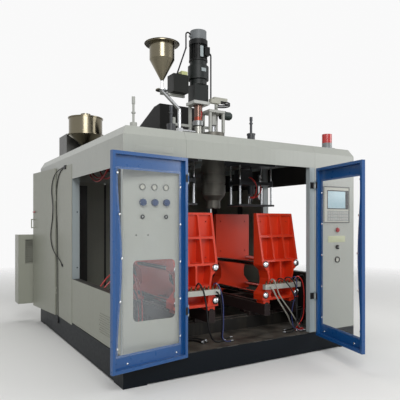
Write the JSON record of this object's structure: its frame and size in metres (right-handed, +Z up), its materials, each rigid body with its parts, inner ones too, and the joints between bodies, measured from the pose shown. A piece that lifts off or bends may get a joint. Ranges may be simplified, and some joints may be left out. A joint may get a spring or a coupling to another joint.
{
  "type": "blow moulding machine",
  "caption": "Double station extrusion blow moulding machine in a grey sheet metal enclosure with open blue doors, red ribbed platens and extruders on the roof.",
  "frame": {"origin": "on the floor, under the middle of the enclosure's footprint", "axes": "+X to the machine's right seen from the front doors, +Y from the doors to the back, +Z up"},
  "size_m": [3.39, 4.4827, 3.832],
  "materials": {
    "panel_grey": "satin",
    "door_blue": "satin",
    "frame_navy": "satin",
    "deck_dark": "worn",
    "post_grey": "satin",
    "platen_red": "satin",
    "frame_dark": "satin",
    "chrome": "polished",
    "steel": "machined",
    "stainless": "polished",
    "cast_dark": "painted",
    "head_steel": "heat tinted",
    "copper_red": "satin",
    "black_plastic": "matte",
    "blue_plastic": "matte",
    "red_plastic": "gloss",
    "clear": "clear",
    "rubber": "matte",
    "aluminium": "machined",
    "tank_grey": "satin"
  },
  "bodies": {
    "enclosure": {"base_frame": "frame_navy", "deck_plate": "deck_dark", "frame_posts": "post_grey", "fascia": "panel_grey", "roof_plate": "panel_grey", "front_panel_left": "panel_grey", "front_panel_right": "panel_grey", "side_sills": "panel_grey", "rear_panels": "panel_grey", "rear_cabinet": "panel_grey", "control_box": "panel_grey", "gauges": "chrome", "panel_window": "clear", "hmi_panel": "black_plastic", "bed": "deck_dark", "blow_frames": "chrome", "die_head": "head_steel", "main_barrel": "steel", "main_drive": "cast_dark", "side_extruder": "steel", "co_motor": "cast_dark", "co_gearbox": "cast_dark", "co_barrel": "copper_red", "hopper_top": "stainless", "hopper_rear": "stainless", "beacon": "red_plastic", "roof_fittings": "panel_grey", "cables": "rubber", "hoses": "rubber", "hydraulic_unit": "tank_grey"},
    "left_door": {"door_left": "door_blue", "door_left_pane": "clear"},
    "right_door": {"door_right": "door_blue", "door_right_pane": "clear"},
    "rear_door": {"cabinet_door": "panel_grey"},
    "box_latch": {"control_box_latch": "black_plastic"},
    "knob_a": {"knob_1": "blue_plastic"},
    "knob_b": {"knob_2": "blue_plastic"},
    "knob_c": {"knob_3": "blue_plastic"},
    "button_a": {"button_1": "steel"},
    "button_b": {"button_2": "steel"},
    "stop_button": {"estop_button": "red_plastic"},
    "selector": {"selector_switch": "black_plastic"},
    "left_carriage": {"carriage_left": "frame_dark"},
    "left_clamp": {"front_platen_left": "platen_red", "tie_bars_left": "chrome", "rear_yoke_left": "frame_dark", "manifold_left": "aluminium"},
    "left_moving": {"moving_platen_left": "platen_red"},
    "right_carriage": {"carriage_right": "frame_dark"},
    "right_clamp": {"front_platen_right": "platen_red", "tie_bars_right": "chrome", "rear_yoke_right": "frame_dark", "manifold_right": "aluminium"},
    "right_moving": {"moving_platen_right": "platen_red"},
    "left_blow": {"blow_head_left": "steel"},
    "right_blow": {"blow_head_right": "steel"},
    "pin": {"die_pin": "steel"},
    "screw": {"main_screw": "steel"},
    "upright_screw": {"co_screw": "steel"}
  },
  "joints": [
    {"name": "left_door_hinge", "type": "hinge", "parent": "enclosure", "child": "left_door", "pos_m": [-0.865, -1.73, 1.2], "axis": [0, 0, 1], "range_deg": [0, 170]},
    {"name": "right_door_hinge", "type": "hinge", "parent": "enclosure", "child": "right_door", "pos_m": [0.865, -1.73, 1.2], "axis": [0, 0, 1], "range_deg": [-77, 93]},
    {"name": "rear_door_hinge", "type": "hinge", "parent": "enclosure", "child": "rear_door", "pos_m": [-1.54, 0.705, 1.2], "axis": [0, 0, 1], "range_deg": [-6.5, 100]},
    {"name": "box_latch_turn", "type": "hinge", "parent": "enclosure", "child": "box_latch", "pos_m": [-1.618, 1.65, 1.103], "axis": [0, 1, 0], "range_deg": [0, 90]},
    {"name": "knob_a_turn", "type": "hinge", "parent": "enclosure", "child": "knob_a", "pos_m": [-1.336, -1.7, 1.712], "axis": [0, 1, 0], "range_deg": [-135, 135]},
    {"name": "knob_b_turn", "type": "hinge", "parent": "enclosure", "child": "knob_b", "pos_m": [-1.214, -1.7, 1.712], "axis": [0, 1, 0], "range_deg": [-135, 135]},
    {"name": "knob_c_turn", "type": "hinge", "parent": "enclosure", "child": "knob_c", "pos_m": [-1.092, -1.7, 1.712], "axis": [0, 1, 0], "range_deg": [-135, 135]},
    {"name": "button_a_press", "type": "slide", "parent": "enclosure", "child": "button_a", "axis": [0, 1, 0], "range_m": [0, 0.005], "stiffness_N_per_m": 600},
    {"name": "button_b_press", "type": "slide", "parent": "enclosure", "child": "button_b", "axis": [0, 1, 0], "range_m": [0, 0.005], "stiffness_N_per_m": 600},
    {"name": "stop_press", "type": "slide", "parent": "enclosure", "child": "stop_button", "axis": [0, 1, 0], "range_m": [0, 0.006]},
    {"name": "selector_turn", "type": "hinge", "parent": "enclosure", "child": "selector", "pos_m": [1.231, -1.7, 1.222], "axis": [0, 1, 0], "range_deg": [-45, 45]},
    {"name": "left_shuttle", "type": "slide", "parent": "enclosure", "child": "left_carriage", "axis": [1, 0, 0], "range_m": [0, 0.585]},
    {"name": "left_close", "type": "slide", "parent": "left_carriage", "child": "left_clamp", "axis": [0, 1, 0], "range_m": [0, 0.25]},
    {"name": "left_close_moving", "type": "slide", "parent": "left_carriage", "child": "left_moving", "axis": [0, 1, 0], "range_m": [-0.25, 0]},
    {"name": "right_shuttle", "type": "slide", "parent": "enclosure", "child": "right_carriage", "axis": [1, 0, 0], "range_m": [-0.585, 0]},
    {"name": "right_close", "type": "slide", "parent": "right_carriage", "child": "right_clamp", "axis": [0, 1, 0], "range_m": [0, 0.25]},
    {"name": "right_close_moving", "type": "slide", "parent": "right_carriage", "child": "right_moving", "axis": [0, 1, 0], "range_m": [-0.25, 0]},
    {"name": "left_blow_stroke", "type": "slide", "parent": "enclosure", "child": "left_blow", "axis": [0, 0, 1], "range_m": [-0.12, 0]},
    {"name": "right_blow_stroke", "type": "slide", "parent": "enclosure", "child": "right_blow", "axis": [0, 0, 1], "range_m": [-0.12, 0]},
    {"name": "pin_stroke", "type": "slide", "parent": "enclosure", "child": "pin", "axis": [0, 0, 1], "range_m": [0, 0.006]},
    {"name": "screw_turn", "type": "hinge", "parent": "enclosure", "child": "screw", "pos_m": [0, 0.1, 2.52], "axis": [0, 1, 0], "continuous": true},
    {"name": "upright_screw_turn", "type": "hinge", "parent": "enclosure", "child": "upright_screw", "pos_m": [-0.215, -0.835, 2.7], "axis": [0, 0, 1], "continuous": true}
  ],
  "couplings": [
    {"joint": "left_close_moving", "follows": "left_close", "ratio": -1},
    {"joint": "right_close_moving", "follows": "right_close", "ratio": -1}
  ]
}
